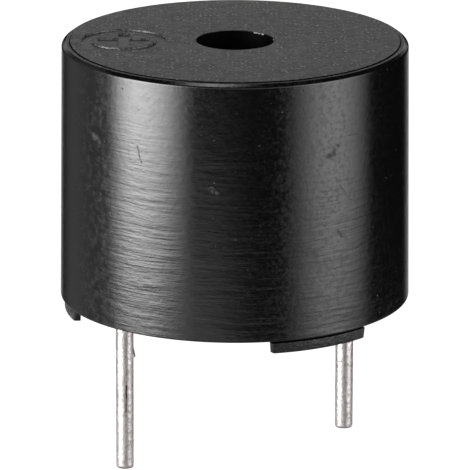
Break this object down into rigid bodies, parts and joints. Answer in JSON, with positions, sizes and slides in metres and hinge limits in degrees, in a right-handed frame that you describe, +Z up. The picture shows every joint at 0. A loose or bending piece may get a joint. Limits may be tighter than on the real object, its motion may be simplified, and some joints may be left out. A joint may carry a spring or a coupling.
{
  "type": "piezo buzzer",
  "caption": "Round black buzzer with a sound port and polarity mark on top, short feet on its rim, and a long and a short lead for soldering to a circuit board.",
  "frame": {"origin": "midway between the two leads, on the plane that the feet stand on", "axes": "+Z up through the sound port, +X from the positive lead to the negative lead"},
  "size_m": [0.012, 0.012, 0.0154],
  "materials": {
    "case_plastic": "moulded black, glossy with fine streaks round the side, matt on top",
    "tinned_wire": "bright tin with drawing lines",
    "resin": "glossy cast resin",
    "board": "glass laminate with a faint weave",
    "copper": "bare copper",
    "solder": "satin solder",
    "chip_black": "moulded package",
    "chip_ceramic": "glazed resistor top",
    "brass": "rolled brass",
    "piezo_ceramic": "fired ceramic",
    "silver": "printed silver",
    "silicone": "soft translucent bead",
    "enamel": "clear red-brown enamel on copper wire"
  },
  "bodies": {
    "root": {"case": "case_plastic", "positive_pin": "tinned_wire", "negative_pin": "tinned_wire", "potting_seal": "resin", "circuit_board": "board", "board_tracks": "copper", "pin_solder_joints": "solder", "transistor_body": "chip_black", "transistor_leads": "tinned_wire", "resistor_1_body": "chip_ceramic", "resistor_1_caps": "solder", "resistor_2_body": "chip_ceramic", "resistor_2_caps": "solder", "resistor_3_body": "chip_ceramic", "resistor_3_caps": "solder", "diaphragm_plate": "brass", "piezo_ceramic": "piezo_ceramic", "drive_electrode": "silver", "feedback_electrode": "silver", "diaphragm_bond": "silicone", "ground_wire": "enamel", "drive_wire": "enamel", "feedback_wire": "enamel", "wire_solder_joints": "solder"}
  },
  "joints": []
}
